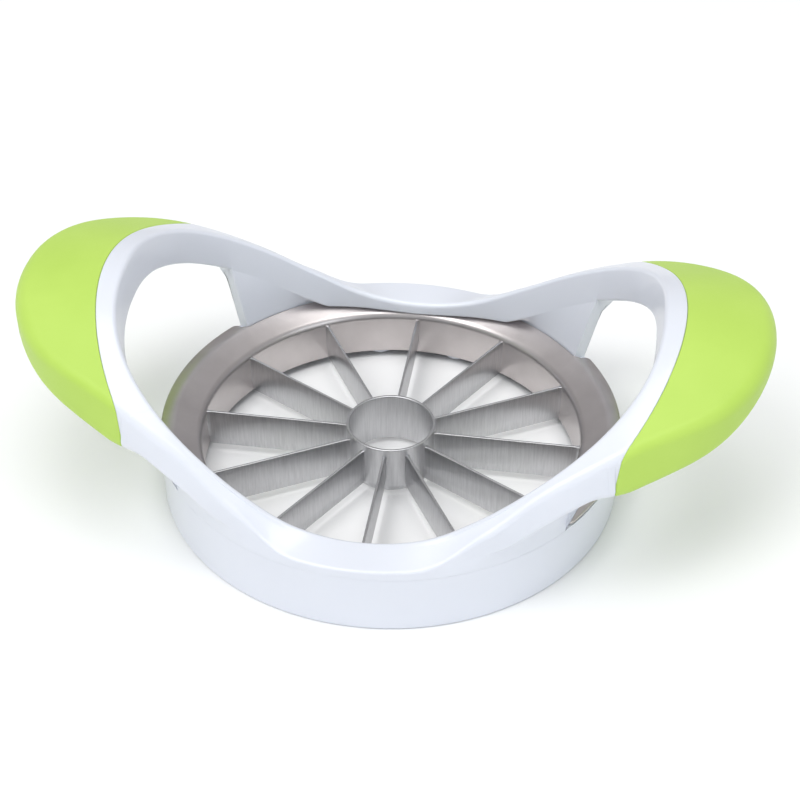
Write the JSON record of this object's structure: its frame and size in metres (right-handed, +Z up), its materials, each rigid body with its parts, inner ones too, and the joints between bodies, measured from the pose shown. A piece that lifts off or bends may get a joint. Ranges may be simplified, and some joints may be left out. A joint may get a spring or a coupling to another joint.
{
  "type": "apple slicer wedger press",
  "caption": "Hand-pressed apple corer and slicer: white round base with raised loop handles, lime soft grips, and radial steel blades round a core cutter.",
  "frame": {"origin": "middle of the foot's circle, on the table", "axes": "+Z up, X runs through the two handles, -Y is the front of the picture"},
  "size_m": [0.164, 0.1048, 0.0516],
  "materials": {
    "white_plastic": "gloss",
    "stainless_steel": "satin",
    "blade_steel": "ground",
    "lime_grip": "matte soft-touch",
    "screw_steel": "satin"
  },
  "bodies": {
    "root": {"frame": "white_plastic", "skirt": "white_plastic", "blade_ring": "stainless_steel", "core_ring": "blade_steel", "blade_01": "blade_steel", "blade_02": "blade_steel", "blade_03": "blade_steel", "blade_04": "blade_steel", "blade_05": "blade_steel", "blade_06": "blade_steel", "blade_07": "blade_steel", "blade_08": "blade_steel", "blade_09": "blade_steel", "blade_10": "blade_steel", "blade_11": "blade_steel", "blade_12": "blade_steel", "grip_right": "lime_grip", "grip_left": "lime_grip", "screw_1": "screw_steel", "screw_2": "screw_steel", "screw_3": "screw_steel", "screw_4": "screw_steel"}
  },
  "joints": []
}
